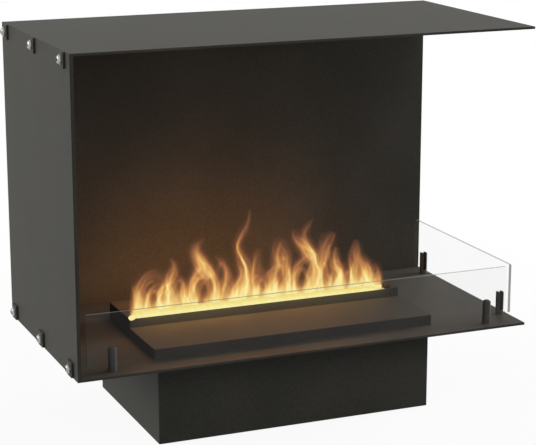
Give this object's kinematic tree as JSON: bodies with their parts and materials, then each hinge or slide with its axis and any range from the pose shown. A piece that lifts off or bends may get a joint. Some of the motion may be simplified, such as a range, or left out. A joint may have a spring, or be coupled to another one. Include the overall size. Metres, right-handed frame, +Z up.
{
  "type": "water vapour fireplace",
  "caption": "Free-standing fireplace: a corner box open at the front and one side on a plinth, a low glass guard, and a drop-in insert that lights rising water vapour as flames.",
  "frame": {"origin": "on the floor under the middle of the whole outline", "axes": "+X towards the open right side, +Y from the open front to the back panel, +Z up"},
  "size_m": [0.81, 0.4, 0.658],
  "materials": {
    "graphite_steel": "matt graphite powder coat",
    "black_steel": "satin black powder coat",
    "galvanised_steel": "galvanised",
    "zinc_steel": "bright zinc",
    "bright_steel": "polished",
    "aluminium": "satin",
    "clear_glass": "clear, polished edges",
    "diffuser": "translucent",
    "rubber": "matt",
    "tank_plastic": "smoke tinted",
    "basin_plastic": "fine grain",
    "blue_plastic": "fine grain",
    "white_plastic": "smooth",
    "black_plastic": "fine grain",
    "red_plastic": "smooth",
    "disc_metal": "satin",
    "board": "solder resist"
  },
  "bodies": {
    "base": {"hearth_plate": "graphite_steel", "top_plate": "graphite_steel", "side_panel": "graphite_steel", "side_liner": "black_steel", "back_panel": "graphite_steel", "back_nuts": "zinc_steel", "clamp_plates": "graphite_steel", "side_screws": "bright_steel", "side_washers": "bright_steel", "side_nuts": "zinc_steel", "plinth_shell": "black_steel", "plinth_bolts": "zinc_steel", "rear_cover": "black_steel", "cover_screws": "zinc_steel", "glass_posts": "black_steel", "post_screws": "zinc_steel", "post_pads": "rubber", "insert_tub": "galvanised_steel", "vapour_head": "graphite_steel", "light_bar": "aluminium", "light_lens": "diffuser", "mist_basin": "basin_plastic", "mist_discs": "disc_metal", "disc_seals": "rubber", "float_guide": "white_plastic", "fan_frame": "black_plastic", "fan_screws": "zinc_steel", "power_supply": "aluminium", "control_board": "board", "power_inlet": "black_plastic", "switch_frame": "black_plastic"},
    "pane_front": {"front_glass": "clear_glass"},
    "pane_side": {"side_glass": "clear_glass"},
    "tank": {"tank_cover": "graphite_steel", "water_tank": "tank_plastic", "valve_cap": "blue_plastic"},
    "valve": {"valve_stem": "white_plastic", "valve_seal": "rubber"},
    "float": {"water_float": "white_plastic"},
    "fan": {"fan_rotor": "black_plastic"},
    "switch": {"rocker": "red_plastic"}
  },
  "joints": [
    {"name": "pane_front_lift", "type": "slide", "parent": "base", "child": "pane_front", "axis": [0, 0, 1], "range_m": [0, 0.04]},
    {"name": "pane_side_lift", "type": "slide", "parent": "base", "child": "pane_side", "axis": [0, 0, 1], "range_m": [0, 0.04]},
    {"name": "tank_lift", "type": "slide", "parent": "base", "child": "tank", "axis": [0, 0, 1], "range_m": [0, 0.13]},
    {"name": "valve_drop", "type": "slide", "parent": "tank", "child": "valve", "axis": [0, 0, 1], "range_m": [-0.003, 0]},
    {"name": "float_rise", "type": "slide", "parent": "base", "child": "float", "axis": [0, 0, 1], "range_m": [0, 0.006]},
    {"name": "fan_spin", "type": "hinge", "parent": "base", "child": "fan", "pos_m": [-0.0695, 0.055, 0.0915], "axis": [0, 1, 0], "continuous": true},
    {"name": "switch_rock", "type": "hinge", "parent": "base", "child": "switch", "pos_m": [0.2095, 0.157, 0.046], "axis": [1, 0, 0], "range_deg": [-20, 0]}
  ],
  "couplings": [
    {"joint": "valve_drop", "follows": "tank_lift", "ratio": -0.022}
  ]
}
